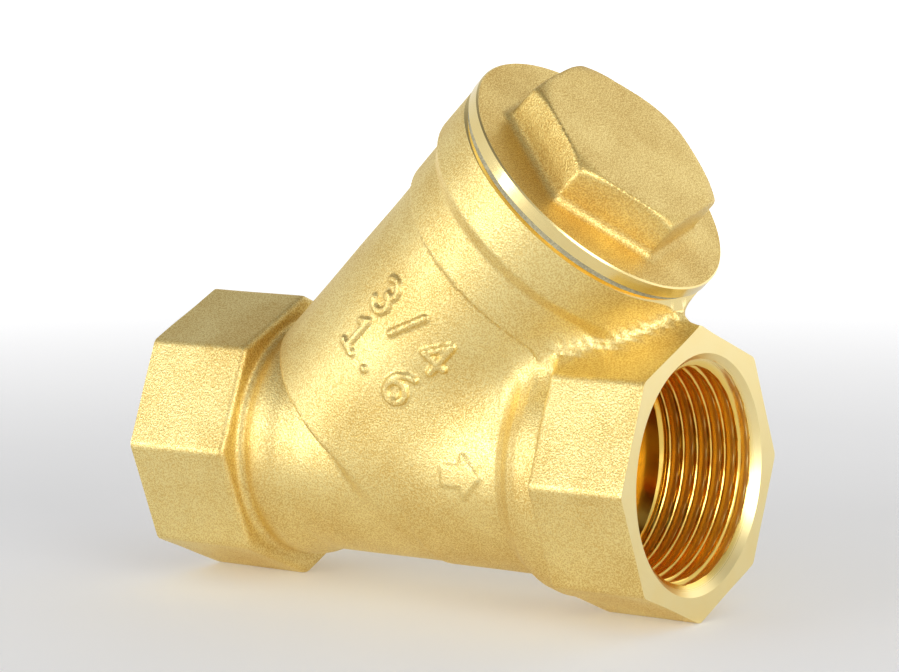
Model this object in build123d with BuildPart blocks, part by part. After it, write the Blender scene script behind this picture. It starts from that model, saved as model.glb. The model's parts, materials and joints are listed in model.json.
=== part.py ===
"""Y-pattern strainer, G 3/4 female ports, forged brass body with a hexagon cap.

Frame: +X along the run towards the outlet, +Z up in the plane of the branch.
The origin is under the middle of the body's length, at the level of the lowest corners.
Two cylindrical systems are used: x and r about the run axis, s and r about the branch axis.
Both start where the two axes cross.
"""

import os
from math import cos, pi, radians, sin, tan

from build123d import *

# ---- driving dimensions, mm ----
length = 67.5  # face to face
inlet_reach = 21.6  # inlet face to the crossing of the axes
across_flats = 31.0  # wrench flats of both ends
corner_soft = 1.2  # rounding of the long edges of the octagons
inlet_oct = 13.5  # length of the inlet octagon
outlet_oct = 12.2  # length of the outlet octagon
oct_end_chamfer = 0.9  # softening of the octagons' inner ends
branch_tilt = 45.0  # branch from the run axis, degrees
cap_clear = 3.1208  # height of the cap's lowest edge above the outlet octagon

# pipe thread G 3/4, in both ends
pipe_pitch = 1.814
pipe_minor_r = 12.06
pipe_depth = 1.161
pipe_root_half = 0.12
mouth_chamfer = 1.54
inlet_thread = 9.4
inlet_grooves = 4
outlet_thread = 12.6
outlet_grooves = 6
land_length = 3.4
land_step = 0.19  # the plain land past the thread is wider by this

# run walls
run_r = 12.85
ring_r = 13.65
neck_r = 14.4
outlet_run_r = 13.05
neck_inset = 0.35  # the outlet neck's largest radius lies inside the flats by this

# water passages
passage_in_r = 9.5
passage_out_r = 10.0
partition_face = 3.0  # inlet side of the partition, along the branch axis
chamber_floor = 6.5  # chamber side of the partition
chamber_gap = 2.4  # water space round the screen's bands

# screen
screen_r = 10.0  # outside of the perforated tube
screen_t = 0.6
band_t = 0.5
band_length = 4.0
screen_fit = 0.15
seat_depth = 1.0
seat_lip = 0.4  # ledge inside the tube's wall
hole_r = 1.1
hole_rows = 9
holes_around = 12

# cap, with its M28 x 1.5 thread left plain, and its gasket
plug_wall = 2.39  # wall of the plug round the screen
thread_clearance = 0.15
thread_depth = 0.81
thread_length = 9.8
lead_in = 2.0  # plain mouth above the thread
mouth_gap = 0.2
plug_past = 0.5  # the plug reaches this far below the foot of the thread
pocket_depth = 7.1  # length of screen inside the plug
flange_over = 0.1  # the cap's flange is wider than the collar by this
flange_t = 1.6
gasket_t = 0.8
gasket_inset = 0.4
hex_across = 22.0
hex_height = 5.4
hex_turn = 42.0  # one corner's angle from the crest of the branch
hex_face_r = 10.7

# branch walls
tube_wall = 2.3
tube_start = 4.5
band_wall = 1.9
band_drop = 12.7  # collar's face to the foot of the band
collar_wall = 2.9
collar_length = 6.8
collar_bevel = 0.6

# ---- derived ----
half_flats = across_flats / 2
corner_r = (half_flats - corner_soft) / cos(pi / 8) + corner_soft
outlet_reach = length - inlet_reach
cross = Vector(inlet_reach - length / 2, 0, corner_r)
u = Vector(cos(radians(branch_tilt)), 0, sin(radians(branch_tilt)))
v = Vector(-u.Z, 0, u.X)
front = Vector(0, -1, 0)
run_axis = Axis(cross, (1, 0, 0))
branch_axis = Axis(cross, u)

run_plane = Plane(cross, x_dir=(1, 0, 0), z_dir=front)  # sketch x, y = x, r
branch_plane = Plane(cross, x_dir=u, z_dir=front)  # sketch x, y = s, r


def across_run(x):
    """Plane across the run axis, at x from the crossing."""
    return Plane(cross + Vector(x, 0, 0), x_dir=(0, 1, 0), z_dir=(1, 0, 0))


def across_branch(s):
    """Plane across the branch axis, at s from the crossing; sketch x points along v."""
    return Plane(cross + u * s, x_dir=v, z_dir=u)


mouth_r = pipe_minor_r + mouth_chamfer
land_r = pipe_minor_r + land_step
inlet_neck = inlet_oct - inlet_reach
outlet_neck = outlet_reach - outlet_oct
neck_top_r = half_flats - neck_inset

# radii of the branch, from the screen outwards
seat_r = screen_r - screen_t - seat_lip
band_out_r = screen_r + band_t
pocket_r = band_out_r + screen_fit
plug_core_r = pocket_r + plug_wall
cap_minor_r = plug_core_r + thread_clearance
cap_major_r = cap_minor_r + thread_depth
chamber_r = band_out_r + chamber_gap
tube_r = chamber_r + tube_wall
band_r = cap_major_r + band_wall
collar_r = cap_major_r + collar_wall
flange_r = collar_r + flange_over
gasket_r = collar_r - gasket_inset

# lengths of the branch, from the cap's clearance over the outlet octagon
flange_under = (corner_r + cap_clear + flange_r * u.X) / u.Z
flange_top = flange_under + flange_t
hex_top = flange_top + hex_height
hex_corner_r = hex_across / 2 / cos(pi / 6)
collar_top = flange_under - gasket_t
collar_start = collar_top - collar_length
band_start = collar_top - band_drop
plug_end = collar_top - thread_length - plug_past
screen_foot = chamber_floor - seat_depth
screen_head = plug_end + pocket_depth
screen_length = screen_head - screen_foot
hex_cone = tan(radians(30))
pipe_groove_half = pipe_root_half + pipe_depth * tan(radians(27.5))


def thread_points(face, inward, grooves):
    """Outline (x, r) of a tapped length: the mouth chamfer and one V groove per pitch."""
    points = [(face, mouth_r)]
    first = mouth_r - pipe_minor_r + pipe_pitch / 2
    for turn in range(grooves):
        centre = first + turn * pipe_pitch
        points.append((face + inward * (centre - pipe_groove_half), pipe_minor_r))
        points.append((face + inward * (centre - pipe_root_half), pipe_minor_r + pipe_depth))
        points.append((face + inward * (centre + pipe_root_half), pipe_minor_r + pipe_depth))
        points.append((face + inward * (centre + pipe_groove_half), pipe_minor_r))
    return points


# ---- body: one brass forging ----
with BuildPart() as inlet_side:
    # inlet water way, cut off by the inlet side of the partition
    with BuildSketch(across_run(-inlet_reach + 1)):
        Circle(passage_in_r)
    extrude(amount=inlet_reach + passage_in_r + partition_face * 2)
    split(bisect_by=across_branch(partition_face), keep=Keep.BOTTOM)

with BuildPart() as outlet_side:
    # outlet water way, cut off by the chamber side of the partition
    with BuildSketch(across_run(outlet_reach - 1)):
        Circle(passage_out_r)
    extrude(amount=-outlet_reach - passage_out_r)
    split(bisect_by=across_branch(chamber_floor), keep=Keep.TOP)

with BuildPart() as body:
    # wrench octagons, a corner uppermost
    with BuildSketch(across_run(-inlet_reach)):
        RegularPolygon(half_flats, 8, major_radius=False)
        fillet(vertices(), corner_soft)
    extrude(amount=inlet_oct)
    chamfer(faces().sort_by(Axis.X)[-1].edges(), oct_end_chamfer)
    with BuildSketch(across_run(outlet_reach)):
        RegularPolygon(half_flats, 8, major_radius=False)
        fillet(vertices(), corner_soft)
    extrude(amount=-outlet_oct)
    # run with its neck rings
    with BuildSketch(run_plane):
        with BuildLine():
            Polyline(
                (-inlet_reach + 1, 0),
                (-inlet_reach + 1, neck_r),
                (inlet_neck + 2.3, neck_r),
                (inlet_neck + 3.1, ring_r),
                (inlet_neck + 4.9, ring_r),
                (inlet_neck + 6.3, run_r),
                (14.0, run_r),
                (14.6, outlet_run_r),
                (outlet_neck - 6.7, outlet_run_r),
            )
            Spline(
                (outlet_neck - 6.7, outlet_run_r),
                (outlet_neck - 4.4, outlet_run_r + 1.2),
                (outlet_neck - 1.4, neck_top_r),
                tangents=[(1, 0), (1, 0)],
            )
            Polyline(
                (outlet_neck - 1.4, neck_top_r),
                (outlet_neck + 1, neck_top_r),
                (outlet_neck + 1, 0),
                (-inlet_reach + 1, 0),
            )
        make_face()
    revolve(axis=run_axis)
    # branch: tube, band, flared collar
    with BuildSketch(branch_plane):
        with BuildLine():
            Polyline(
                (tube_start, 0),
                (tube_start, tube_r - 0.7),
                (tube_start + 0.7, tube_r),
                (band_start, tube_r),
                (band_start + 0.4, band_r - 0.1),
                (collar_start, band_r),
                (collar_start + 1.6, collar_r),
                (collar_top - collar_bevel, collar_r),
                (collar_top, collar_r - collar_bevel),
                (collar_top, 0),
                close=True,
            )
        make_face()
    revolve(axis=branch_axis)
    # inlet bore: mouth chamfer, tapped length, plain land
    with BuildSketch(run_plane):
        with BuildLine():
            Polyline(
                (-inlet_reach, 0),
                *thread_points(-inlet_reach, 1, inlet_grooves),
                (-inlet_reach + inlet_thread, pipe_minor_r),
                (-inlet_reach + inlet_thread, land_r),
                (-inlet_reach + inlet_thread + land_length, land_r),
                (-inlet_reach + inlet_thread + land_length, 0),
                close=True,
            )
        make_face()
    revolve(axis=run_axis, mode=Mode.SUBTRACT)
    # outlet bore
    with BuildSketch(run_plane):
        with BuildLine():
            Polyline(
                (outlet_reach, 0),
                *thread_points(outlet_reach, -1, outlet_grooves),
                (outlet_reach - outlet_thread, pipe_minor_r),
                (outlet_reach - outlet_thread, land_r),
                (outlet_reach - outlet_thread - land_length, land_r),
                (outlet_reach - outlet_thread - land_length, 0),
                close=True,
            )
        make_face()
    revolve(axis=run_axis, mode=Mode.SUBTRACT)
    # screen seat, chamber and tapped mouth of the branch
    with BuildSketch(branch_plane):
        with BuildLine():
            Polyline(
                (partition_face - 1, 0),
                (partition_face - 1, seat_r),
                (screen_foot, seat_r),
                (screen_foot, pocket_r),
                (chamber_floor, pocket_r),
                (chamber_floor, chamber_r),
                (plug_end - 2, chamber_r),
                (plug_end - 2, cap_minor_r),
                (collar_top - lead_in - 0.5, cap_minor_r),
                (collar_top - lead_in, cap_major_r + mouth_gap),
                (collar_top, cap_major_r + mouth_gap),
                (collar_top, 0),
                close=True,
            )
        make_face()
    revolve(axis=branch_axis, mode=Mode.SUBTRACT)
    add(inlet_side.part, mode=Mode.SUBTRACT)
    add(outlet_side.part, mode=Mode.SUBTRACT)
body.part.label = "body"

# ---- flat gasket under the cap ----
with BuildPart() as cap_gasket:
    with BuildSketch(across_branch(collar_top)):
        Circle(gasket_r)
        Circle(cap_major_r + mouth_gap + 0.1, mode=Mode.SUBTRACT)
    extrude(amount=gasket_t)
cap_gasket.part.label = "cap_gasket"

# ---- cap: flange, wrench hexagon, threaded plug with a pocket for the screen ----
with BuildPart() as bonnet_cap:
    with BuildSketch(across_branch(flange_top)):
        RegularPolygon(hex_across / 2, 6, major_radius=False, rotation=-hex_turn)
    extrude(amount=hex_height)
    # cone-turned corners of the hexagon
    with BuildSketch(branch_plane):
        with BuildLine():
            Polyline(
                (flange_top - 1, 0),
                (flange_top - 1, hex_corner_r + 1),
                (hex_top - (hex_corner_r + 1 - hex_face_r) * hex_cone, hex_corner_r + 1),
                (hex_top, hex_face_r),
                (hex_top, 0),
                close=True,
            )
        make_face()
    revolve(axis=branch_axis, mode=Mode.INTERSECT)
    with BuildSketch(branch_plane):
        with BuildLine():
            Polyline(
                (plug_end, 0),
                (plug_end, plug_core_r - 0.4),
                (plug_end + 0.4, plug_core_r),
                (flange_under, plug_core_r),
                (flange_under, flange_r),
                (flange_top - 0.2, flange_r),
                (flange_top, flange_r - 0.2),
                (flange_top, 0),
                close=True,
            )
        make_face()
    revolve(axis=branch_axis)
    with BuildSketch(branch_plane):
        with BuildLine():
            Polyline(
                (plug_end, 0),
                (plug_end, pocket_r + 0.3),
                (plug_end + 0.3, pocket_r),
                (screen_head + 0.3, pocket_r),
                (screen_head + 1.5, 0),
                close=True,
            )
        make_face()
    revolve(axis=branch_axis, mode=Mode.SUBTRACT)
bonnet_cap.part.label = "bonnet_cap"

# ---- screen: perforated tube with two crimped end bands ----
with BuildPart() as screen_tube:
    with BuildSketch(across_branch(screen_foot)):
        Circle(screen_r)
        Circle(screen_r - screen_t, mode=Mode.SUBTRACT)
    extrude(amount=screen_length)
    row_pitch = (screen_length - 2 * band_length) / hole_rows
    for row in range(hole_rows):
        height = screen_foot + band_length + (row + 0.5) * row_pitch
        for step in range(holes_around // 2):
            turn = (step + 0.5 * (row % 2)) * 360 / holes_around
            with BuildSketch(across_branch(height).rotated((0, 0, turn)).rotated((90, 0, 0))):
                Circle(hole_r)
            extrude(amount=screen_r + 1, both=True, mode=Mode.SUBTRACT)
screen_tube.part.label = "screen_tube"

with BuildPart() as screen_foot_band:
    with BuildSketch(across_branch(screen_foot)):
        Circle(band_out_r)
        Circle(screen_r, mode=Mode.SUBTRACT)
    extrude(amount=band_length)
screen_foot_band.part.label = "screen_foot_band"

with BuildPart() as screen_head_band:
    with BuildSketch(across_branch(screen_head - band_length)):
        Circle(band_out_r)
        Circle(screen_r, mode=Mode.SUBTRACT)
    extrude(amount=band_length)
screen_head_band.part.label = "screen_head_band"

os.makedirs("parts", exist_ok=True)
export_step(body.part, "parts/body.step")
export_step(cap_gasket.part, "parts/cap_gasket.step")
export_step(bonnet_cap.part, "parts/bonnet_cap.step")
export_step(screen_tube.part, "parts/screen_tube.step")
export_step(screen_foot_band.part, "parts/screen_foot_band.step")
export_step(screen_head_band.part, "parts/screen_head_band.step")
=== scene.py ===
# %% [markdown]
# # A forged brass Y strainer
# The real object is a brass forging with a threaded port at each end of its run and a
# branch that slants up at 45 degrees. A hexagon cap closes the branch, and a perforated
# steel screen stands inside. The frame holds the plain solids; this lesson gives them
# their skins: soft forged outsides, crisp machined insides and true helical threads.

# %% load the frame
import json
from math import cos, pi, radians, sin, sqrt, tan

import bmesh
import bpy
import numpy as np
from mathutils import Matrix, Vector

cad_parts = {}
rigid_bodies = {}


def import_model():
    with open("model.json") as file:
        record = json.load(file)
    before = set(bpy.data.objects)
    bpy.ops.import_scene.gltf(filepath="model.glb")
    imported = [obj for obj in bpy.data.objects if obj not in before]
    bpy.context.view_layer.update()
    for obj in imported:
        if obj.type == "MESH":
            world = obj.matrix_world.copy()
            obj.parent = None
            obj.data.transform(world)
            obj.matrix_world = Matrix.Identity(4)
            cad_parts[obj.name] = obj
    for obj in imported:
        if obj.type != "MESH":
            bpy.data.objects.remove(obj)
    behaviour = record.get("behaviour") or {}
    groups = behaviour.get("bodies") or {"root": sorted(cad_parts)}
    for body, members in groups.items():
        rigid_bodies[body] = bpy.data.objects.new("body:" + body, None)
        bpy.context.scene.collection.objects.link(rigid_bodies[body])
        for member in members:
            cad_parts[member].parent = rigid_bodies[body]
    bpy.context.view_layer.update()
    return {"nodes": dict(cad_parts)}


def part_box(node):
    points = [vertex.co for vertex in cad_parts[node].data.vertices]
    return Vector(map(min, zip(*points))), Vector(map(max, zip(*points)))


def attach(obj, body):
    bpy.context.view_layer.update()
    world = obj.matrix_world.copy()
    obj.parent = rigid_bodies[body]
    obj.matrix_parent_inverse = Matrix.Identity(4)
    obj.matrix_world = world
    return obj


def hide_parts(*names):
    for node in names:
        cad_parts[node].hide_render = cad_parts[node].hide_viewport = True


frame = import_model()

print("nodes:", sorted(frame["nodes"]))

# %% [markdown]
# ## Where things are
# Two straight axes order the whole object: the run along X, and the branch, which leaves
# it at 45 degrees in the XZ plane. They cross at one point. Working in millimetres from
# that crossing keeps the sizes readable, so the mesh helpers below take millimetres in
# these two systems and turn them into metres in the frame at the last moment.

# %% axes and main sizes, in millimetres
mm = 0.001  # one millimetre, in the frame's metres
body_low, body_high = (Vector(c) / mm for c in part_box("body"))
half_flats = 15.5  # axis to a flat of the wrench octagons
corner_soft = 1.2  # rounding of their corners
corner_r = (half_flats - corner_soft) / cos(pi / 8) + corner_soft
inlet_face = -21.6
outlet_face = body_high.x - body_low.x + inlet_face
crossing = Vector((body_low.x - inlet_face, 0, corner_r))
slant = sqrt(0.5)
along = Vector((slant, 0, slant))  # branch axis
crest = Vector((-slant, 0, slant))  # across the branch, on its upper side
front = Vector((0, -1, 0))
pipe = {"pitch": 1.814, "minor": 12.06, "major": 13.22}
cap_thread = {"pitch": 1.5, "minor": 13.19, "major": 14.0}
collar_top = 44.2
gasket_t = 0.8
flange_r = 17.0
flange_under = collar_top + gasket_t
flange_top = flange_under + 1.6
hex_top = flange_top + 5.4
land_r, land_length = 12.25, 3.4  # plain bore behind each pipe thread
seat_r = 10.65  # recess that the screen stands in, and pocket that holds its head
screen_foot, screen_head = 5.5, 41.0
chamber_r, chamber_floor = 12.9, 6.5
passage_in_r, passage_out_r, partition_face = 9.5, 10.0, 3.0
pipe_flank, cap_flank = tan(radians(27.5)), tan(radians(30))
stock = 1.5  # metal left on each end for turning
print("crossing of the axes, mm:", [round(c, 3) for c in crossing])
print("outlet face, mm along the run:", round(outlet_face, 3))


def run_axes():
    """Columns x, y, z of the run system: x along the run, angle from +Y towards +Z."""
    return crossing, Vector((1, 0, 0)), Vector((0, 1, 0)), Vector((0, 0, 1))


def branch_axes():
    """The branch system: s along the branch, angle from the crest towards the front."""
    return crossing, along, crest, front


# %% [markdown]
# ## Shapes as distance fields
# Forgings have no sharp joins: every rib and ring flows into its neighbour through a
# fillet that the die leaves. Filleting such crossings edge by edge is fragile. A distance
# field does it in one line: each simple form is a function that says how far a point is
# from its surface, and a smooth minimum of two such functions is a union with a fillet.

# %% distance helpers
def smooth_min(a, b, k):
    """Union of two fields with a fillet of about k."""
    h = np.clip(k - np.abs(a - b), 0, None) / k
    return np.minimum(a, b) - h * h * k / 4


def smooth_max(a, b, k):
    """Intersection of two fields with a rounded edge of about k."""
    return -smooth_min(-a, -b, k)


filled = float(smooth_min(2.0, 2.0, 1.0))
print("2 mm from two walls at once, the fillet leaves", filled, "mm")

# %% [markdown]
# ## Distances from outlines
# Two kinds of flat outline are enough for the whole casting. A list of corners gives the
# half sections of the round parts, and a regular polygon with rounded corners gives the
# wrench faces; the polygon needs no list, because folding the angle into one side does.

# %% outlines and prisms
def outline_distance(x, y, corners):
    """Signed distance from a closed outline, negative inside it."""
    best = np.full(np.shape(x), 1e9)
    inside = np.zeros(np.shape(x), bool)
    for (ax, ay), (bx, by) in zip(corners, corners[1:] + corners[:1]):
        ex, ey = bx - ax, by - ay
        wx, wy = x - ax, y - ay
        t = np.clip((wx * ex + wy * ey) / (ex * ex + ey * ey), 0, 1)
        best = np.minimum(best, (wx - t * ex) ** 2 + (wy - t * ey) ** 2)
        crosses = (ay > y) != (by > y)
        inside ^= crosses & (x < ax + (y - ay) * ex / (ey if ey else 1e-9))
    return np.where(inside, -1, 1) * np.sqrt(best)


def stroke_distance(x, y, points):
    """Distance from an open line through the points."""
    best = np.full(np.shape(x), 1e9)
    for (ax, ay), (bx, by) in zip(points, points[1:]):
        ex, ey = bx - ax, by - ay
        wx, wy = x - ax, y - ay
        t = np.clip((wx * ex + wy * ey) / (ex * ex + ey * ey + 1e-12), 0, 1)
        best = np.minimum(best, np.hypot(wx - t * ex, wy - t * ey))
    return best


def prism_distance(a, b, sides, apothem, soft, first=0.0):
    """Distance from a regular polygon with rounded corners; first is one corner's angle."""
    step = 2 * pi / sides
    middle = np.floor((np.arctan2(b, a) - first) / step) * step + step / 2 + first
    out = a * np.cos(middle) + b * np.sin(middle) - (apothem - soft)
    side = b * np.cos(middle) - a * np.sin(middle)
    half = (apothem - soft) * tan(step / 2)
    past = side - np.clip(side, -half, half)
    return np.where(out > 0, np.hypot(out, past), out) - soft


def between(place, low, high):
    """Distance from the slab low..high, negative inside it."""
    return np.abs(place - (low + high) / 2) - (high - low) / 2


def bounded(across, middle_distance, soft):
    """A prism cut to length: across is its field, middle_distance that of its two ends."""
    a, b = across + soft, middle_distance + soft
    outside = np.hypot(np.clip(a, 0, None), np.clip(b, 0, None))
    return np.minimum(np.maximum(a, b), 0) + outside - soft


print("middle of a 10 mm octagon is", prism_distance(0.0, 0.0, 8, 10.0, 1.0), "mm from its outline")

# %% [markdown]
# ## Half outlines
# The run with its neck rings and the branch with its band and flared collar are bodies of
# revolution, so each is one half outline of corners: place along the axis, then radius.
# The small steps in the run's list are the two rings that the die leaves on the neck.

# %% half outlines
neck_x = outlet_face - 12.2  # inner end of the outlet octagon
run_outline = [
    (inlet_face - 1, 0), (inlet_face - 1, 14.2), (-8.3, 13.8), (-7.2, 13.6), (-6.2, 13.85),
    (-5.2, 13.9), (-4.2, 13.65), (-3.0, 13.2), (-1.6, 12.9), (14.0, 12.85), (14.6, 13.05),
    (27.2, 13.05), (28.3, 13.6), (29.6, 14.6), (31.0, 15.0), (neck_x + 1, 15.15), (neck_x + 1, 0),
]
branch_outline = [
    (4.5, 0), (4.5, 14.8), (4.9, 15.2), (31.6, 15.2), (31.9, 15.85), (37.2, 15.95),
    (38.8, 16.9), (collar_top + stock, 16.9), (collar_top + stock, 0),
]
print("outline points:", len(run_outline), "run,", len(branch_outline), "branch")

# %% [markdown]
# ## Plain raised figures
# The die has figures cut into it, so they stand up from the metal, with sloping sides that
# let the forging leave the die. Here each figure is a few strokes, and its height is read
# from the distance to the nearest stroke. The waves are the skin's own unevenness.

# %% figures and waves
def arc_points(cx, cy, radius, start, end, count=12):
    """Points on an arc, angles in degrees."""
    turns = np.radians(np.linspace(start, end, count))
    return [(cx + radius * cos(t), cy + radius * sin(t)) for t in turns]


figures = {
    "3": [arc_points(0.28, 0.74, 0.26, 150, -80), arc_points(0.28, 0.27, 0.29, 85, -150)],
    "4": [[(0.46, 0.0), (0.46, 1.0), (0.0, 0.32), (0.66, 0.32)]],
    "/": [[(0.05, -0.05), (0.5, 1.05)]],
    "1": [[(0.12, 0.78), (0.34, 1.0), (0.34, 0.0)], [(0.1, 0.0), (0.58, 0.0)]],
    "6": [arc_points(0.32, 0.3, 0.29, 0, 360, 20), arc_points(0.62, 0.36, 0.6, 100, 185)],
    ".": [[(0.2, 0.04), (0.24, 0.04)]],
}


def figures_distance(x, y, text, height, spacing):
    """Distance from the strokes of a line of plain figures that starts at the origin."""
    best = np.full(np.shape(x), 1e9)
    for place, letter in enumerate(text):
        for stroke in figures[letter]:
            points = [(place * spacing + px * height, py * height) for px, py in stroke]
            best = np.minimum(best, stroke_distance(x, y, points))
    return best


def raised(distance, half_width, edge, height):
    """Height of a raised mark whose sides slope over edge."""
    t = np.clip((half_width + edge - distance) / edge, 0, 1)
    return height * t * t * (3 - 2 * t)


def waves(x, y, z, size, seed):
    """Gentle unevenness between -1 and 1: a few crossed sine waves."""
    rng = np.random.default_rng(seed)
    total = 0
    for _ in range(5):
        direction = rng.normal(size=3)
        direction *= 2 * pi / size / np.linalg.norm(direction) * rng.uniform(0.7, 1.4)
        phase = rng.uniform(0, 6)
        total = total + np.sin(x * direction[0] + y * direction[1] + z * direction[2] + phase)
    return total / 5


print("figures that can be raised:", " ".join(figures))

# %% [markdown]
# ## The forging's outside
# Each term is one feature of the die: two octagons for the wrench, the run, and the branch.
# The branch melts into the run on the outlet side and keeps a crease on the inlet side, so
# its fillet grows along X. A few long, low waves keep the skin from being mathematically
# exact, as on any forging, and a shorter one roughs up the tight corner under the collar,
# where the trimmed flash stays.

# %% the forging's field
tube_r, run_r = 15.2, 12.9  # radii that the marks are laid out on
stroke_half, stroke_edge, stroke_height = 0.2, 0.42, 0.44
arrow_outline = [
    (0, -1.1), (2.6, -1.1), (2.6, -2.5), (5.0, 0), (2.6, 2.5), (2.6, 1.1), (0, 1.1),
]


def marks_height(x, y, z, s, v):
    """Height of the raised marks: two lines of figures on the branch, an arrow on the run."""
    round_branch = np.arctan2(-y, v) * tube_r
    near_branch = (np.abs(np.hypot(v, y) - 15.4) < 1.5) & (y < 0)
    line_1 = figures_distance(round_branch - 18.6, s - 21.6, "3/4", 4.3, 4.6)
    line_2 = figures_distance(round_branch - 18.9, s - 15.6, "1.6", 4.2, 4.0)
    mark = raised(np.minimum(line_1, line_2), stroke_half, stroke_edge, stroke_height)
    round_run = np.arctan2(z, -y) * run_r
    near_run = (np.abs(np.hypot(y, z) - 13.0) < 1.0) & (y < 0)
    flow = raised(outline_distance(x - 20.1, round_run + 0.4, arrow_outline), 0.0, 0.4, 0.22)
    return np.where(near_branch, mark, 0), np.where(near_run, flow, 0)


def forging(x, y, z):
    """Signed distance from the outside of the forging; x, y, z from the crossing."""
    r = np.hypot(y, z)
    octagon = prism_distance(y, z, 8, half_flats, corner_soft)
    inlet_end = bounded(octagon, between(x, inlet_face - stock, -8.1), 0.8)
    outlet_end = bounded(octagon, between(x, neck_x, outlet_face + stock), 0.5)
    run = outline_distance(x, r, run_outline)
    s = (x + z) * slant  # along the branch
    v = (z - x) * slant  # towards its crest
    branch = outline_distance(s, np.hypot(v, y), branch_outline)
    solid = smooth_min(run, inlet_end, 0.7)
    solid = smooth_min(solid, outlet_end, 0.2)
    blend = 0.8 + 4.2 * np.clip((x - 1) / 12, 0, 1) ** 1.5
    solid = smooth_min(solid, branch, blend)
    # flash left rough where the collar and the outlet's octagon close in on each other
    pinch = np.clip(1.4 - (np.abs(outlet_end) + np.abs(branch)) / 2.2, 0, 1) * (x > 29)
    solid = solid - pinch * 0.3 * waves(x, y, z, 1.0, 5)
    figures_up, arrow_up = marks_height(x, y, z, s, v)
    solid = solid - figures_up - arrow_up
    return solid - 0.05 * waves(x, y, z, 9, 3) + 0.05


print("field at the crossing, mm:", round(float(forging(0.0, 0.0, 0.0)), 2))

# %% [markdown]
# ## From field to mesh
# A surface net puts one vertex in every small cube that the surface passes through and
# joins neighbours with quads. It gives an even skin of quads, where a mesh of marching
# cubes would have slivers. Only cubes near the surface are looked at, block by block, to
# save time.

# %% surface net
def net_points(field, low, high, cell):
    """Vertices and quads of field = 0 inside the box low..high."""
    low = np.array(low, float)
    count = np.ceil((np.array(high) - low) / cell).astype(int) + 1
    values = np.full(tuple(count), 9.0, np.float32)
    block = 16
    reach = block * cell * sqrt(3) / 2 + 2.5
    for i in range(0, count[0], block):
        for j in range(0, count[1], block):
            for k in range(0, count[2], block):
                start = np.array([i, j, k])
                middle = low + (start + block / 2) * cell
                at_middle = float(field(*middle))
                stop = np.minimum(start + block, count)
                cut = tuple(slice(a, b) for a, b in zip(start, stop))
                if abs(at_middle) > reach:
                    values[cut] = at_middle
                    continue
                axes = [low[n] + np.arange(start[n], stop[n]) * cell for n in range(3)]
                values[cut] = field(*np.meshgrid(*axes, indexing="ij"))
    inside = values < 0
    corners = sum(
        inside[dx:count[0] - 1 + dx, dy:count[1] - 1 + dy, dz:count[2] - 1 + dz].astype(np.int8)
        for dx in (0, 1) for dy in (0, 1) for dz in (0, 1)
    )
    active = (corners > 0) & (corners < 8)
    index = np.full(active.shape, -1, np.int64)
    index[active] = np.arange(active.sum())
    points = low + (np.argwhere(active) + 0.5) * cell
    quads = []
    for axis in range(3):
        ahead = np.moveaxis(inside, axis, 0)
        change = np.moveaxis(ahead[1:] != ahead[:-1], 0, axis)
        filled = np.moveaxis(ahead[:-1], 0, axis)
        other = [n for n in range(3) if n != axis]
        at = np.argwhere(change)
        keep = (at[:, other[0]] > 0) & (at[:, other[1]] > 0)
        for n in other:
            keep &= at[:, n] < index.shape[n]
        at = at[keep]
        ring = []
        for da, db in ((1, 1), (0, 1), (0, 0), (1, 0)):
            cellat = at.copy()
            cellat[:, other[0]] -= da
            cellat[:, other[1]] -= db
            ring.append(index[tuple(cellat.T)])
        ring = np.stack(ring, 1)
        flip = filled[tuple(at.T)] ^ (axis == 1)
        ring[~flip] = ring[~flip][:, ::-1]
        quads.append(ring)
    return points, np.concatenate(quads)


print("surface net ready")

# %% [markdown]
# ## Settling the net
# The net's points start in the middle of their cubes, so the first mesh is all steps.
# Sliding each one down the field's slope puts it on the surface, and pulling it towards
# its neighbours between slides keeps the quads even. Two rounds are enough.

# %% settle the net
def slide_to_surface(field, points, steps=3, reach=0.02):
    """Moves points along the gradient until the field is zero there; reach is in mm."""
    for _ in range(steps):
        x, y, z = points.T
        value = field(x, y, z)
        slope = np.stack([
            field(x + reach, y, z) - field(x - reach, y, z),
            field(x, y + reach, z) - field(x, y - reach, z),
            field(x, y, z + reach) - field(x, y, z - reach),
        ], 1) / (2 * reach)
        size = np.clip((slope**2).sum(1), 0.2, None)
        move = slope * (value / size)[:, None]
        limit = np.clip(np.abs(move).max(1) / 0.4, 1, None)
        points = points - move / limit[:, None]
    return points


def even_out(points, quads):
    """Each point goes half way to the average of its quads' middles."""
    middles = points[quads].mean(1)
    total = np.zeros_like(points)
    uses = np.zeros(len(points))
    for n in range(4):
        np.add.at(total, quads[:, n], middles)
        np.add.at(uses, quads[:, n], 1)
    return 0.5 * points + 0.5 * total / np.clip(uses, 1, None)[:, None]


def skin(name, field, low, high, cell):
    """Mesh object of a field, in metres in the frame."""
    points, quads = net_points(field, low, high, cell)
    points = slide_to_surface(field, points)
    for _ in range(2):
        points = slide_to_surface(field, even_out(points, quads), 2)
    mesh = bpy.data.meshes.new(name)
    mesh.from_pydata(((points + np.array(crossing)) * mm).tolist(), [], quads.tolist())
    mesh.validate()
    piece = bpy.data.objects.new(name, mesh)
    bpy.context.scene.collection.objects.link(piece)
    print(name, "net:", len(points), "points,", len(quads), "quads")
    return piece


print("a field can now be made into a piece")

# %% [markdown]
# ## Casting the forging
# The net's box has to hold the whole forging with a little room, and its cubes have to be
# smaller than the thinnest ridge, which is a stroke of the marks.

# %% cast the forging
build_cell = 0.28
half_room = 17.8
body_skin = skin(
    "forged_body", forging,
    (inlet_face - stock - 0.8, -half_room, -half_room),
    (outlet_face + stock + 0.8, half_room, (collar_top + stock + 17) * slant + 1), build_cell,
)
print("forging cast with cubes of", build_cell, "mm")

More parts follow.
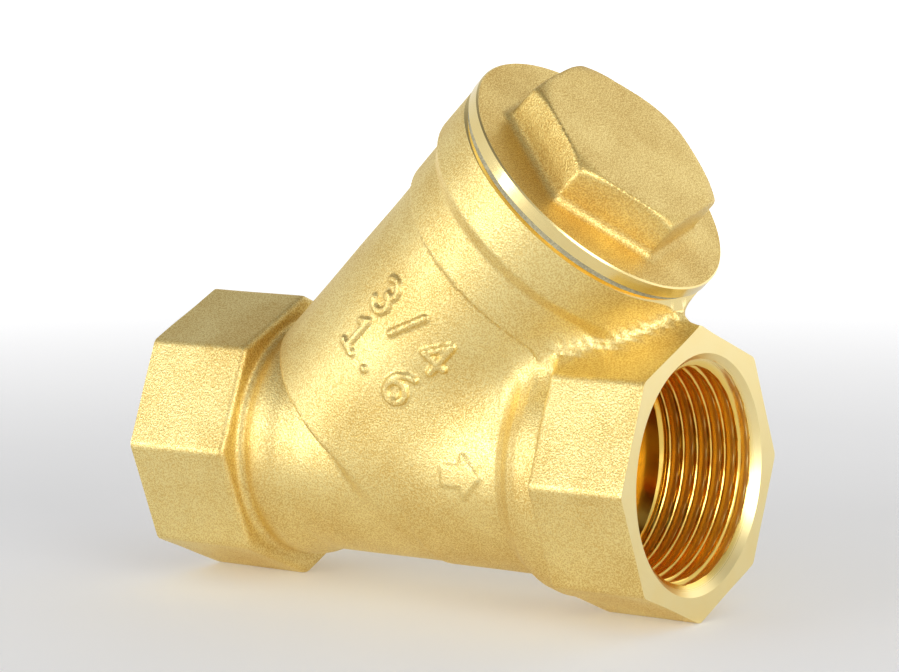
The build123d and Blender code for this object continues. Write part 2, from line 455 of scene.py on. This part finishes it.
# %% [markdown]
# ## Turned and tapped surfaces
# Everything that seals or screws is machined after forging: end faces, bores, seat and
# threads. A turned surface is a radius that depends on the place along an axis, and a
# thread is the same with the angle added in: one turn round moves the groove on by one
# pitch. So one grid of rings makes plain bores and true helices alike, and it is closed
# into a solid that a boolean can cut with or join.

# %% lathe
def lathe(name, axes, stations, radii, turns=160, loop=False):
    """Closed solid of rings. stations and radii are (rings,) or (rings, turns), in mm."""
    origin, axis, first, second = axes
    angle = np.arange(turns) * 2 * pi / turns
    stations = np.broadcast_to(np.asarray(stations, float).T, (turns, len(stations))).T
    radii = np.broadcast_to(np.asarray(radii, float).T, (turns, len(radii))).T
    round_way = np.outer(np.cos(angle), first) + np.outer(np.sin(angle), second)
    points = np.array(origin) + stations[..., None] * np.array(axis) + radii[..., None] * round_way
    rings = len(stations)
    vertices = points.reshape(-1, 3)
    faces = []
    a = np.arange(turns)
    b = (a + 1) % turns
    for ring in range(rings if loop else rings - 1):
        here, there = ring * turns, (ring + 1) % rings * turns
        faces += np.stack([here + a, here + b, there + b, there + a], 1).tolist()
    if not loop:
        ends = [points[0].mean(0), points[-1].mean(0)]
        vertices = np.concatenate([vertices, ends])
        last = (rings - 1) * turns
        faces += np.stack([b, a, np.full(turns, rings * turns)], 1).tolist()
        faces += np.stack([last + a, last + b, np.full(turns, rings * turns + 1)], 1).tolist()
    mesh = bpy.data.meshes.new(name)
    mesh.from_pydata((vertices * mm).tolist(), [], faces)
    mesh.validate()
    outward = bmesh.new()
    outward.from_mesh(mesh)
    bmesh.ops.recalc_face_normals(outward, faces=outward.faces)
    outward.to_mesh(mesh)
    outward.free()
    piece = bpy.data.objects.new(name, mesh)
    bpy.context.scene.collection.objects.link(piece)
    return piece


def turned(name, axes, outline, loop=False, turns=160):
    """Lathe from an outline of (place, radius) corners."""
    return lathe(name, axes, [p[0] for p in outline], [p[1] for p in outline], turns, loop)


turns = 240
angles = np.arange(turns) * 2 * pi / turns
print("lathe ready,", turns, "steps round")

# %% [markdown]
# ## Threads and cutting
# A thread's groove has a flat root and two flanks, and its depth depends on how far a
# point is from the middle of the groove, once the angle has been taken off the place.
# Cutting is a boolean: the tool's faces keep their material slot, so the machined metal
# can be told from the forged skin afterwards.

# %% grooves and booleans
def groove_depth(place, angle, thread, root_half, flank, rounding=0.85):
    """Depth of a helical V groove, from 0 at the crest to the full depth at its root."""
    pitch, depth = thread["pitch"], thread["major"] - thread["minor"]
    phase = (place / pitch - angle / (2 * pi)) % 1
    off_centre = np.abs(phase - 0.5) * pitch
    t = np.clip((root_half + depth * flank - off_centre) / (depth * flank), 0, 1)
    return depth * ((1 - rounding) * t + rounding * t * t * (3 - 2 * t))


def combine(target, tool, operation):
    """Boolean of target with tool, written into target; the tool is removed."""
    step = target.modifiers.new(operation.lower(), "BOOLEAN")
    step.operation, step.solver, step.object = operation, "MANIFOLD", tool
    bpy.context.view_layer.update()
    graph = bpy.context.evaluated_depsgraph_get()
    shape = bpy.data.meshes.new_from_object(target.evaluated_get(graph))
    target.modifiers.clear()
    old = target.data
    target.data = shape
    bpy.data.meshes.remove(old)
    bpy.data.objects.remove(tool)


def paint_slot(piece, slot):
    """Gives every face of a piece one material slot."""
    piece.data.polygons.foreach_set("material_index", [slot] * len(piece.data.polygons))
    return piece


print("depth of the pipe thread, mm:", round(pipe["major"] - pipe["minor"], 2))

# %% [markdown]
# ## Ports
# Both ports have the same pipe thread. A short cone leads into it, the tap leaves its last
# groove shallower, and a plain land follows. Behind the land the water passage runs on to
# the slanted wall that the screen's seat is cut in, so the passage's last ring is sheared
# to lie in that wall.

# %% port cutters
ring_step = 0.075  # between rings of the thread, fine enough for a smooth flank
mouth_r = 13.6  # where the lead-in cone meets the end face
pipe_root_half = 0.14  # half of the flat at the groove's root


def port_cutter(name, face, inward, tapped, passage_r, wall):
    """Everything that is bored from one end face; wall is the slanted wall's place."""
    depth = np.linspace(0, tapped, int(tapped / ring_step))
    place = face + inward * depth
    cone = mouth_r - depth
    fade = np.clip((tapped - depth) / (0.9 * pipe["pitch"]), 0, 1)
    groove = groove_depth(place[:, None], angles, pipe, pipe_root_half, pipe_flank)
    thread_r = pipe["minor"] + groove * fade[:, None]
    tapped_r = np.maximum(thread_r, cone[:, None])
    reach = wall * sqrt(2)
    land = face + inward * (tapped + land_length)
    flat = np.ones(turns)
    stations = [flat * (face - inward * 2)] + [flat * p for p in place]
    radii = [flat * (mouth_r + 2)] + list(tapped_r)
    for at, r in ((face + inward * tapped, land_r), (land, land_r), (land, passage_r)):
        stations.append(flat * at)
        radii.append(flat * r)
    stations.append(reach - passage_r * np.sin(angles))
    radii.append(flat * passage_r)
    return lathe(name, run_axes(), np.array(stations), np.array(radii), turns)


wide = 22  # radius that reaches past every edge of the forging
cutters = [
    port_cutter("inlet_bore", inlet_face, 1, 9.4, passage_in_r, partition_face),
    port_cutter("outlet_bore", outlet_face, -1, 12.6, passage_out_r, chamber_floor),
    turned("inlet_facing", run_axes(), [(inlet_face - 6, wide), (inlet_face, wide)]),
    turned("outlet_facing", run_axes(), [(outlet_face, wide), (outlet_face + 6, wide)]),
]
for tool in cutters:
    print(tool.name, len(tool.data.vertices), "points")

# %% [markdown]
# ## Branch
# From the bottom up: the hole in the slanted wall, the shallow seat for the screen's foot,
# the chamber, the cap's metric thread and a plain lead-in. The collar is faced flat for
# the gasket, and its rim is broken by a narrow cone, which meets the uneven forged side in
# a wandering line.

# %% branch cutters
thread_foot = 31.9  # foot of the cap's thread, along the branch
cap_root_half = 0.094
seat_hole_r = 9.0  # hole that the water takes into the screen
lead_in_r = 14.2


def branch_cutter(name):
    """Everything that is bored from the branch's mouth."""
    flat = np.ones(turns)
    place = np.linspace(32.4, 42.4, 100)
    groove = groove_depth(place[:, None], angles, cap_thread, cap_root_half, cap_flank, 0.15)
    groove = groove * np.clip((place - 32.6) / cap_thread["pitch"], 0, 1)[:, None]
    below = [
        (2.0, seat_hole_r), (screen_foot, seat_hole_r), (screen_foot, seat_r),
        (chamber_floor, seat_r), (chamber_floor, chamber_r), (thread_foot, chamber_r),
        (thread_foot, cap_thread["minor"]),
    ]
    above = [(42.5, lead_in_r), (collar_top + 5, lead_in_r)]
    stations = [flat * s for s, r in below] + [flat * s for s in place]
    stations += [flat * s for s, r in above]
    radii = [flat * r for s, r in below] + list(cap_thread["minor"] + groove)
    radii += [flat * r for s, r in above]
    return lathe(name, branch_axes(), np.array(stations), np.array(radii), turns)


branch_tools = [
    branch_cutter("branch_bore"),
    turned("collar_facing", branch_axes(), [(collar_top, wide), (collar_top + 8, wide)]),
    turned(
        "collar_edge", branch_axes(),
        [(collar_top - 0.75, 17.6), (collar_top + 0.25, 16.1), (collar_top + 2, 16.1),
         (collar_top + 2, 19), (collar_top - 0.75, 19)], loop=True,
    ),
]
for slot, tools in ((1, cutters), (2, branch_tools)):
    for tool in tools:
        combine(body_skin, paint_slot(tool, slot), "DIFFERENCE")
indices = np.zeros(len(body_skin.data.polygons), int)
body_skin.data.polygons.foreach_get("material_index", indices)
print("forged_body faces by finish:", np.bincount(indices).tolist())

# %% [markdown]
# ## Cap
# The cap is forged as a hexagon on a disc. A cone takes the corners off the wrench hexagon,
# as on any bolt head, and leaves a nearly round top face. The same field and net as for
# the body do here, so the hexagon runs down into the disc with the die's soft fillet.

# %% cap
hex_turn = radians(42)  # one corner's angle from the crest
disc_r = flange_r + stock


def cap_forging(x, y, z):
    """Signed distance from the outside of the cap's forging."""
    s = (x + z) * slant
    v = (z - x) * slant
    r = np.hypot(v, y)
    hexagon = prism_distance(v, -y, 6, 11.0, 0.5, hex_turn)
    block = bounded(hexagon, between(s, flange_top - 1, hex_top), 0.25)
    cone = (s - hex_top) * cos(radians(30)) + (r - 11.4) * sin(radians(30))
    block = smooth_max(block, cone, 0.5)
    disc = bounded(r - disc_r, between(s, flange_under - stock, flange_top), 0.2)
    cap = smooth_min(block, disc, 1.3)
    return cap - 0.035 * waves(x, y, z, 7, 11) + 0.035


cap_low = (flange_under - stock - disc_r) * slant - 0.8
cap_high = (flange_top + disc_r) * slant + 0.8
cap_room = 19.2  # half of the net's box, across the branch
cap_cell = 0.27
cap_skin = skin(
    "cap_body", cap_forging,
    (cap_low, -cap_room, cap_low), (cap_high, cap_room, cap_high), cap_cell,
)
print("cap forged with cubes of", cap_cell, "mm")

# %% [markdown]
# ## Machining the cap
# The rim and the underside are turned off the forging. The threaded plug is a lathe solid
# that is joined on, and the pocket for the screen's head is cut out of it last. The
# thread's ridges are the tapped groove seen from the other side, made a little smaller
# all round so that the two can turn, and they fade out at both ends as a real thread does.

# %% rim, plug and pocket
plug_core_r, ridge_r = 12.93, 13.86  # root and crest of the plug's thread
plug_foot, ridge_low, ridge_high = 33.9, 35.6, 43.7
clear = 26  # radius past every edge of the cap's disc
pitch = cap_thread["pitch"]
male = np.linspace(ridge_low, ridge_high, 110)
off_ridge = np.abs(((male[:, None] / pitch - angles / (2 * pi)) % 1) - 0.5) * pitch
ridge = cap_thread["major"] - (off_ridge + 0.062) / cap_flank
ridge = np.clip(ridge, plug_core_r, ridge_r)
ease = np.clip(np.minimum(male - ridge_low, ridge_high - male) / 0.9, 0, 1)[:, None]
ridge = plug_core_r + (ridge - plug_core_r) * ease
flat = np.ones(turns)
plug_stations = [flat * plug_foot, flat * (plug_foot + 0.4)] + [flat * s for s in male]
plug_stations.append(flat * (flange_under + 0.6))
plug_radii = [flat * 12.6, flat * plug_core_r] + list(ridge) + [flat * plug_core_r]
rim_outline = [
    (flange_under - 3, flange_r), (flange_top - 0.2, flange_r),
    (flange_top + 0.3, flange_r - 0.5), (flange_top + 2, flange_r - 0.5),
    (flange_top + 2, clear), (flange_under - 3, clear),
]
pocket_outline = [
    (33.0, 11.2), (plug_foot, 10.95), (34.2, seat_r), (screen_head + 0.3, seat_r), (42.5, 2.0),
]
underside_outline = [(flange_under - 5, clear - 2), (flange_under, clear - 2)]
plug = lathe("cap_plug", branch_axes(), np.array(plug_stations), np.array(plug_radii), turns)
cap_tools = [
    ("DIFFERENCE", turned("cap_underside", branch_axes(), underside_outline)),
    ("DIFFERENCE", turned("cap_rim", branch_axes(), rim_outline, loop=True)),
    ("UNION", plug),
    ("DIFFERENCE", turned("cap_pocket", branch_axes(), pocket_outline)),
]
for operation, tool in cap_tools:
    combine(cap_skin, paint_slot(tool, 1), operation)
print("cap_body:", len(cap_skin.data.polygons), "faces")

# %% [markdown]
# ## Screen
# The real screen is a sheet of stainless steel, punched in staggered rows, rolled into a
# tube and pressed into two plain bands. Cutting hundreds of holes with booleans is slow,
# so the sheet is laid out as a brickwork of cells instead, and each cell is built at once
# as a hole with a collar of quads round it. The two skins are joined through the holes.

# %% perforated sheet
def perforated_tube(name, low, high, plain, outer, inner, around, rows, hole_r):
    """Tube about the branch axis from low to high, left unpunched over plain at each end."""
    origin, axis, first, second = (np.array(a) for a in branch_axes())
    row_height = (high - low - 2 * plain) / rows
    step = 2 * pi / around
    rim_angles = np.arange(8) * pi / 4 + 5 * pi / 4
    corner_x = np.array([-0.5, 0, 0.5, 0.5, 0.5, 0, -0.5, -0.5])
    corner_y = np.array([-0.5, -0.5, -0.5, 0, 0.5, 0.5, 0.5, 0])
    vertices, faces = [], []

    def add(turn, place, radius, quads):
        """Points by angle and place along the axis, and the quads that join them."""
        start = sum(len(v) for v in vertices)
        out = np.outer(np.cos(turn), first) + np.outer(np.sin(turn), second)
        vertices.append(origin + np.outer(place, axis) + out * radius)
        faces.extend([[start + n for n in quad] for quad in quads])

    def ring_quads(count):
        """Quads that join a ring of points to the ring stored after it."""
        after = [(k + 1) % count for k in range(count)]
        return [[k, after[k], count + after[k], count + k] for k in range(count)]

    def add_wall(turn, place):
        """Quads between the outer skin and the inner skin, round a closed line."""
        start = sum(len(v) for v in vertices)
        out = np.outer(np.cos(turn), first) + np.outer(np.sin(turn), second)
        base = origin + np.outer(place, axis)
        vertices.append(np.concatenate([base + out * outer, base + out * inner]))
        faces.extend([[start + n for n in quad] for quad in ring_quads(len(turn))])

    collar = ring_quads(8)
    for row in range(rows):
        middle = low + plain + (row + 0.5) * row_height
        for cell in range(around):
            turn = (cell + 0.5 * (row % 2)) * step
            edge_turn, edge_place = turn + corner_x * step, middle + corner_y * row_height
            hole_turn = turn + hole_r * np.cos(rim_angles) / outer
            hole_place = middle + hole_r * np.sin(rim_angles)
            both_turn = np.concatenate([edge_turn, hole_turn])
            both_place = np.concatenate([edge_place, hole_place])
            add(both_turn, both_place, outer, collar)
            add(both_turn, both_place, inner, collar)
            add_wall(hole_turn, hole_place)
    ring = np.arange(2 * around) * step / 2
    strip = ring_quads(2 * around)
    for a, b in ((low, low + plain), (high - plain, high)):
        for radius in (outer, inner):
            add(np.tile(ring, 2), np.repeat([a, b], 2 * around), radius, strip)
    for place in (low, high):
        add_wall(ring, np.full(len(ring), place))
    mesh = bpy.data.meshes.new(name)
    mesh.from_pydata((np.concatenate(vertices) * mm).tolist(), [], faces)
    weld = bmesh.new()
    weld.from_mesh(mesh)
    bmesh.ops.remove_doubles(weld, verts=weld.verts, dist=0.002 * mm)
    bmesh.ops.recalc_face_normals(weld, faces=weld.faces)
    weld.to_mesh(mesh)
    open_edges = sum(not e.is_manifold for e in weld.edges)
    weld.free()
    piece = bpy.data.objects.new(name, mesh)
    bpy.context.scene.collection.objects.link(piece)
    print(name, len(mesh.polygons), "faces,", open_edges, "open edges")
    return piece


screen_skin = perforated_tube(
    "screen_sheet", screen_foot, screen_head, plain=4.0, outer=10.0, inner=9.4,
    around=36, rows=18, hole_r=0.5,
)

# %% [markdown]
# ## Edges
# Machined edges are crisp and forged ones are soft. Smooth shading with a limit on the
# angle gives both: faces that meet at less than the limit share their shading, and the
# corner between a bore and an end face stays sharp.

# %% shading
sharp_past = 32  # degrees
for piece in (body_skin, cap_skin, screen_skin):
    piece.data.shade_smooth()
    piece.data.set_sharp_from_angle(angle=radians(sharp_past))
print("smooth, with sharp edges past", sharp_past, "degrees")

# %% [markdown]
# ## Writing shaders as sums
# A shader is a sum of waves and masks, and sums read best as sums. The class below holds
# one output of the node tree, and each arithmetic sign on it adds the Math node that does
# the sum. Every other node comes from one method, node, which takes the node's type, its
# settings and what goes into its sockets.

# %% socket class
class Wire:
    """One output socket of a shader, with arithmetic."""

    def __init__(self, tree, socket):
        self.tree, self.socket = tree, socket

    def node(self, kind, settings=None, inputs=None, output=0):
        """Adds a node of a type, sets its settings, then its sockets, and gives one output."""
        made = self.tree.nodes.new("ShaderNode" + kind)
        for key, value in (settings or {}).items():
            if key == "stops":
                ramp = made.color_ramp.elements
                while len(ramp) < len(value):
                    ramp.new(1.0)
                for element, (place, colour) in zip(ramp, value):
                    element.position, element.color = place, (*colour, 1)
            else:
                setattr(made, key, value)
        for key, value in (inputs or {}).items():
            target = made.inputs[key]
            if isinstance(value, Wire):
                self.tree.links.new(value.socket, target)
            else:
                target.default_value = value
        return Wire(self.tree, made.outputs[output])

    def sum_of(self, operation, a, b):
        """One Math node on two values, each a wire or a number."""
        return self.node("Math", {"operation": operation}, {0: a, 1: b})

    def __add__(self, other):
        return self.sum_of("ADD", self, other)

    def __radd__(self, other):
        return self.sum_of("ADD", other, self)

    def __sub__(self, other):
        return self.sum_of("SUBTRACT", self, other)

    def __rsub__(self, other):
        return self.sum_of("SUBTRACT", other, self)

    def __mul__(self, other):
        return self.sum_of("MULTIPLY", self, other)

    def __rmul__(self, other):
        return self.sum_of("MULTIPLY", other, self)

    def __pow__(self, other):
        return self.sum_of("POWER", self, other)

    def __rpow__(self, other):
        return self.sum_of("POWER", other, self)

    def step(self, low, high, to_low=0.0, to_high=1.0):
        """Smooth step of a value from to_low at low to to_high at high."""
        return self.node(
            "MapRange", {"interpolation_type": "SMOOTHSTEP"},
            {"Value": self, "From Min": low, "From Max": high, "To Min": to_low, "To Max": to_high},
        )

    def blend(self, a, b):
        """Colour a where this value is 0 and b where it is 1."""
        return self.node(
            "Mix", {"data_type": "RGBA"},
            {0: self, 6: a if isinstance(a, Wire) else (*a, 1),
             7: b if isinstance(b, Wire) else (*b, 1)},
            output=2,
        )

    def grain(self, size, detail=2.0, roughness=0.5):
        """Noise of about this grain size in millimetres, for a place in metres."""
        return self.node(
            "TexNoise", {"noise_dimensions": "3D"},
            {"Vector": self, "Scale": 1000 / size, "Detail": detail, "Roughness": roughness},
        )

    def line_noise(self, size, detail=2.0):
        """Noise along one value in metres: rings on a lathe, streaks on a sheet."""
        return self.node(
            "TexNoise", {"noise_dimensions": "1D"},
            {"W": self, "Scale": 1000 / size, "Detail": detail},
        )

    def vector(self, operation, other=None, output="Vector"):
        """One Vector Math node on this vector and, if given, another."""
        inputs = {0: self} if other is None else {0: self, 1: tuple(other)}
        return self.node("VectorMath", {"operation": operation}, inputs, output)


print("sockets can be added, taken away, multiplied and raised to a power")

# %% [markdown]
# ## Starting and ending a material
# Every finish here is the same shader with other numbers. Numbers that hold all over the
# piece are set once on the shader, and only what changes over the surface is plugged in.
# The place comes from the object's own coordinates, so the grain stays on the metal when
# the piece moves.

# %% material helpers
def new_material(name, **constants):
    """Material with one Principled shader; constants go straight onto its sockets."""
    made = bpy.data.materials.new(name)
    made.use_nodes = True
    tree = made.node_tree
    shader = next(n for n in tree.nodes if n.type == "BSDF_PRINCIPLED")
    for key, value in constants.items():
        shader.inputs[key.replace("_", " ")].default_value = value
    start = Wire(tree, None)
    place = start.node("TexCoord", output="Object")
    return made, shader, place


def finish_with(shader, **wires):
    """Plugs varying values into the shader's sockets."""
    for key, wire in wires.items():
        wire.tree.links.new(wire.socket, shader.inputs[key.replace("_", " ")])


def relief(place, height, strength, distance):
    """Normal of a surface with this height, distance in millimetres."""
    inputs = {"Height": height, "Strength": strength, "Distance": distance * mm}
    return place.node("Bump", inputs=inputs, output="Normal")


def linear(*colour):
    """Scene-linear values of an sRGB colour in 0..255."""
    return tuple(((c / 255 + 0.055) / 1.055) ** 2.4 if c > 10 else c / 255 / 12.92 for c in colour)


print("shader helpers ready")

# %% [markdown]
# ## Places for masks
# Finishes follow the way a part was made, so the shaders need the same coordinates as the
# geometry: the distance along the run or the branch, and the distance from its axis.
# Dot products and lengths of the place give both.

# %% axis coordinates in shaders
def along_and_radius(place, axis):
    """Distance along an axis through the crossing, and distance from it, both in metres."""
    offset = place.vector("SUBTRACT", crossing * mm)
    along_axis = offset.vector("DOT_PRODUCT", axis, "Value")
    length = offset.vector("LENGTH", output="Value")
    return along_axis, (length * length - along_axis * along_axis + 1e-12) ** 0.5


print("run and branch coordinates ready")

# %% [markdown]
# ## Shot-blasted brass
# Blasting with steel shot leaves overlapping dimples about a quarter of a millimetre
# across. Each dimple is a small facet that catches the light on its own, which is why the
# forging sparkles although it is matt. Two sizes of noise give the dimples, a sparse cell
# noise adds the brighter facets, and a slow noise brings the faint brown bloom that
# handling leaves. The hollows of the dimples are painted darker and redder: painted shade.

# %% forged brass
def forged_brass(name, pale, deep):
    """Blasted brass between two colours."""
    made, shader, place = new_material(name, Metallic=1.0)
    dimples = place.grain(0.17, 1.0, 0.5)
    fine = place.grain(0.09, 0.0)
    cells = place.node(
        "TexVoronoi", {"feature": "SMOOTH_F1"},
        {"Vector": place, "Scale": 1000 / 0.26, "Smoothness": 0.4},
    )
    bloom = place.grain(11, 3.0, 0.55)
    height = dimples * 0.7 + fine * 0.25 + cells * 0.5
    # high on the tops of the dimples; the hollows between them take the painted shade below
    dimple_tops = dimples.step(0.4, 0.6)
    # the brown bloom that handling leaves, plus painted shade, darker and redder, in the dimples'
    # hollows
    tone = bloom.step(0.35, 0.72) * 0.25 + (1 - dimple_tops) * 0.45
    colour = tone.blend(pale, deep)
    rough = 0.4 + bloom.step(0.3, 0.7) * 0.08 + (1 - dimple_tops) * 0.1
    normal = relief(place, height, 0.8, 0.06)
    finish_with(shader, Base_Color=colour, Roughness=rough, Normal=normal)
    print(name, "with", len(made.node_tree.nodes), "nodes")
    return made


forged = forged_brass("forged_brass", linear(249, 232, 168), linear(198, 159, 78))
forged_cap = forged_brass("forged_brass_cap", linear(245, 224, 154), linear(190, 148, 70))

# %% [markdown]
# ## Turned brass
# A lathe tool leaves rings as fine as its feed, here about a tenth of a millimetre. On a
# bore they lie along the axis and on a face they lie along the radius, so one noise of
# the two added together serves both. Deep in a bore the metal looks orange, because light
# reaches it by way of other brass; the colour there is painted redder, a painted reflection that
# helps it along.

# %% turned brass
def turned_brass(name, axis, bright, warm, deep_at, outside_rough, inside_rough):
    """Machined brass about an axis, painted warmer where the radius is less than deep_at: a painted
    reflection.
    """
    made, shader, place = new_material(name, Metallic=1.0)
    along_axis, radius = along_and_radius(place, axis)
    way = along_axis + radius
    rings = way.line_noise(0.16, 2.0)
    coarse = way.line_noise(0.9, 1.0)
    smear = place.grain(3.0, 3.0)
    inside = radius.step(deep_at * mm, (deep_at + 0.9) * mm, 1.0, 0.0)
    # painted reflection: inside deep_at the bore is painted in the warm colour, the orange that
    # light takes from other brass
    colour = inside.blend((smear.step(0.3, 0.7) * 0.12).blend(bright, warm), warm)
    rough = outside_rough + inside * (inside_rough - outside_rough) + rings.step(0.3, 0.7) * 0.05
    height = rings * 0.7 + coarse * 0.5
    normal = relief(place, height, 0.2, 0.012)
    finish_with(shader, Base_Color=colour, Roughness=rough, Normal=normal)
    print(name, "with", len(made.node_tree.nodes), "nodes")
    return made


# deep_at is the radius inside which the bores are painted orange, a painted reflection
deep_at = 12.3  # radius in millimetres at which the bore's colour begins
turned_run = turned_brass(
    "turned_brass_run", (1, 0, 0), linear(252, 234, 176), linear(252, 218, 122),
    deep_at, outside_rough=0.3, inside_rough=0.16,
)
turned_branch = turned_brass(
    "turned_brass_branch", along, linear(250, 230, 168), linear(246, 208, 116),
    deep_at, outside_rough=0.15, inside_rough=0.17,
)

# %% [markdown]
# ## Gasket and screen
# The gasket is a pressed fibre sheet: matt grey with short pale fibres. The screen is
# rolled stainless steel, satin, with streaks along the rolling direction and a faint
# variation from the punch.

# %% gasket and steel
gasket_finish, shader, place = new_material("fibre_gasket", Metallic=0.0)
fibres = place.grain(0.25, 3.0, 0.7)
patches = place.grain(2.2, 2.0)
tone = fibres.step(0.35, 0.7) * 0.7 + patches.step(0.3, 0.7) * 0.3
finish_with(
    shader, Base_Color=tone.blend(linear(150, 146, 124), linear(196, 190, 160)),
    Roughness=0.62 + fibres * 0.25, Normal=relief(place, fibres, 0.5, 0.05),
)
steel_finish, shader, place = new_material("satin_stainless", Metallic=1.0)
along_axis, radius = along_and_radius(place, along)
streaks = along_axis.line_noise(0.22, 3.0)
cloud = place.grain(4.0, 3.0)
finish_with(
    shader, Base_Color=cloud.step(0.3, 0.7).blend(linear(196, 197, 196), linear(170, 170, 168)),
    Roughness=0.24 + streaks * 0.16 + cloud * 0.08, Normal=relief(place, streaks, 0.25, 0.02),
)
print("finishes:", gasket_finish.name, "and", steel_finish.name)

# %% [markdown]
# ## Hand-over to the frame
# Each skin stands for its plain solid and rides on that solid's body, so that the cap and
# the screen move with the mechanism. The gasket and the two screen bands are right as
# they are and only take a finish.

# %% replace, ride and dress
for piece, node, body, slot, finishes in (
    (body_skin, "body", "strainer_body", "forged_brass", (forged, turned_run, turned_branch)),
    (cap_skin, "bonnet_cap", "cap", "cap_brass", (forged_cap, turned_branch)),
    (screen_skin, "screen_tube", "screen", "stainless", (steel_finish,)),
):
    marks = np.zeros(len(piece.data.polygons), np.int32)
    piece.data.polygons.foreach_get("material_index", marks)
    piece.data.materials.clear()
    for finish in finishes:
        piece.data.materials.append(finish)
    piece.data.polygons.foreach_set("material_index", marks)
    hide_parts(node)
    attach(piece, body)
for node, finish in (
    ("cap_gasket", gasket_finish), ("screen_foot_band", steel_finish),
    ("screen_head_band", steel_finish),
):
    frame["nodes"][node].material_slots[0].material = finish
shown = [o for o in bpy.context.scene.objects if o.type == "MESH" and not o.hide_render]
for piece in sorted(shown, key=lambda o: o.name):
    print(piece.name, [s.material.name for s in piece.material_slots])

# %% [markdown]
# ## Table
# A pale table and a bright, even surround. The table glows a little more the further it
# lies from the part, so that its far edge melts into the surround, and near the part it
# still takes a soft shadow.

# %% floor
bpy.ops.mesh.primitive_plane_add(size=8)
table_top = bpy.context.object
table_top.name = "table_top"
made, shader, place = new_material("pale_table", Metallic=0.0, Roughness=0.85)
mottle = place.grain(60, 2.0)
far = place.vector("LENGTH", output="Value").step(0.07, 0.45)
finish_with(
    shader, Base_Color=mottle.blend((0.76, 0.76, 0.76), (0.8, 0.8, 0.8)),
    Emission_Color=far.blend((0.15, 0.15, 0.15), (0.6, 0.6, 0.6)),
)
shader.inputs["Emission Strength"].default_value = 1.0
table_top.data.materials.append(made)
print("table:", round(table_top.dimensions.x, 2), "m square")

# %% [markdown]
# ## Surround
# Brass shows mostly what it reflects, so the surround does the work here. It is white at
# the horizon and greyer overhead: facets that face out come bright, and facets that face
# up come darker, which keeps the octagons easy to read.

# %% surround
world = bpy.data.worlds.new("surround")
bpy.context.scene.world = world
world.use_nodes = True
backdrop = next(n for n in world.node_tree.nodes if n.type == "BACKGROUND")
start = Wire(world.node_tree, None)
direction = start.node("TexCoord", output="Generated")
height = start.node("SeparateXYZ", inputs={0: direction}, output="Z")
stops = [
    (0.0, (1.0, 1.0, 1.0)), (0.3, (0.88, 0.88, 0.88)),
    (0.65, (0.68, 0.68, 0.69)), (1.0, (0.26, 0.26, 0.27)),
]
sky = start.node("ValToRGB", {"stops": stops}, {"Fac": height})
world.node_tree.links.new(sky.socket, backdrop.inputs["Color"])
backdrop.inputs["Strength"].default_value = 0.76
print("surround:", len(stops), "greys from the horizon to overhead")

# %% [markdown]
# ## Lamps
# Large square lamps close to the part give broad, soft highlights. The key stands to the
# left of the front, the fill to the right, where it looks into the outlet, and a weak one
# behind lifts the far side.

# %% lamps
def lamp(name, direction, distance, size, watts):
    """Square area lamp that looks at the crossing from a direction."""
    light = bpy.data.lights.new(name, "AREA")
    light.size, light.energy = size, watts
    holder = bpy.data.objects.new(name, light)
    way = Vector(direction).normalized()
    holder.location = crossing * mm + way * distance
    holder.rotation_mode = "QUATERNION"
    holder.rotation_quaternion = way.to_track_quat("Z", "Y")
    bpy.context.scene.collection.objects.link(holder)
    return holder


key_lamp = lamp("key_lamp", (-0.45, -1.0, 0.1), 1.1, 0.7, 5.1)
fill_lamp = lamp("fill_lamp", (1.0, -0.4, 0.15), 1.2, 0.8, 6.4)
back_lamp = lamp("back_lamp", (0.2, 0.8, 0.6), 1.2, 0.7, 0.8)
print("lamps:", [o.name for o in (key_lamp, fill_lamp, back_lamp)])

# %% [markdown]
# ## Camera
# A long lens from a little above, standing to the outlet side, so that the outlet port,
# the branch and the inlet's octagon all show. The camera turns by half a degree about its
# own line of sight.

# %% camera
azimuth, elevation, roll = radians(35.764), radians(9.043), radians(-0.5285)
camera_distance = 440.4  # millimetres from the crossing
aim_right, aim_up = 10.13, 12.32  # the point looked at, from the crossing
towards = Vector((sin(azimuth) * cos(elevation), -cos(azimuth) * cos(elevation), sin(elevation)))
rightwards = Vector((cos(azimuth), sin(azimuth), 0))
upwards = towards.cross(rightwards)
eye = (crossing + towards * camera_distance) * mm
right_tilted = rightwards * cos(roll) + upwards * sin(roll)
up_tilted = upwards * cos(roll) - rightwards * sin(roll)
aim = (crossing + right_tilted * aim_right + up_tilted * aim_up) * mm
back = (eye - aim).normalized()
side = (right_tilted - back * right_tilted.dot(back)).normalized()
lens = bpy.data.cameras.new("catalogue_camera")
lens.sensor_fit, lens.sensor_width, lens.lens = "HORIZONTAL", 36, 150
lens.clip_start, lens.clip_end = 0.01, 50
camera = bpy.data.objects.new("catalogue_camera", lens)
camera.matrix_world = Matrix((side, back.cross(side), back)).transposed().to_4x4()
camera.location = eye
bpy.context.scene.collection.objects.link(camera)
bpy.context.scene.camera = camera
print("camera at", [round(c, 4) for c in camera.location])

# %% [markdown]
# ## Tone and bounces
# The plain Standard transform keeps pale brass from turning grey, and a little contrast
# gives the facets their edge. Light goes in and out of a threaded bore many times, so the
# limit on glossy bounces is raised, or the bore's depth would come out black.

# %% tone and bounces
studio = bpy.context.scene
studio.view_settings.view_transform = "Standard"
studio.view_settings.look = "Medium High Contrast"
studio.cycles.max_bounces = 16
studio.cycles.glossy_bounces = 12
print("look:", studio.view_settings.look)
